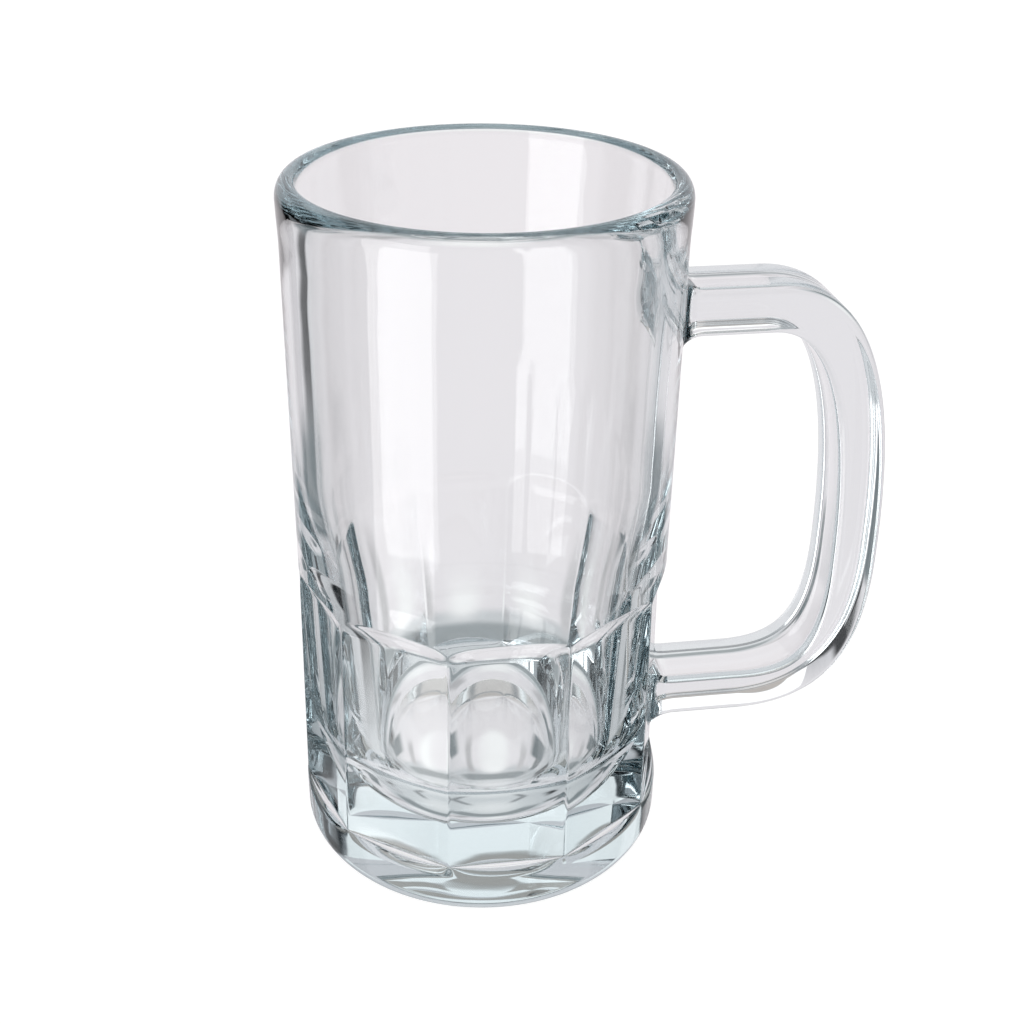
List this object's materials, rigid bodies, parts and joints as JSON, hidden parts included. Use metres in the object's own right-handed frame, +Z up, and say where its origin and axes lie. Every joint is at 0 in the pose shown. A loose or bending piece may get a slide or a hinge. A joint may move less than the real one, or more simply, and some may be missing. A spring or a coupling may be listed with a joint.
{
  "type": "beer mug",
  "caption": "Clear pressed-glass beer mug: straight round cup with flat panels round its lower half, thick round foot, and a solid glass handle fused on at flared collars.",
  "frame": {"origin": "centre of the foot's flat underside, on the cup's axis", "axes": "+Z up along the cup's axis, +X towards the handle, +Y to the left of someone facing along the handle's direction"},
  "size_m": [0.1229, 0.0778, 0.145],
  "materials": {
    "clear_glass": "fire-polished pressed soda-lime glass, clear with a faint blue-green edge"
  },
  "bodies": {
    "root": {"cup": "clear_glass", "handle": "clear_glass", "upper_collar": "clear_glass", "lower_collar": "clear_glass"}
  },
  "joints": []
}
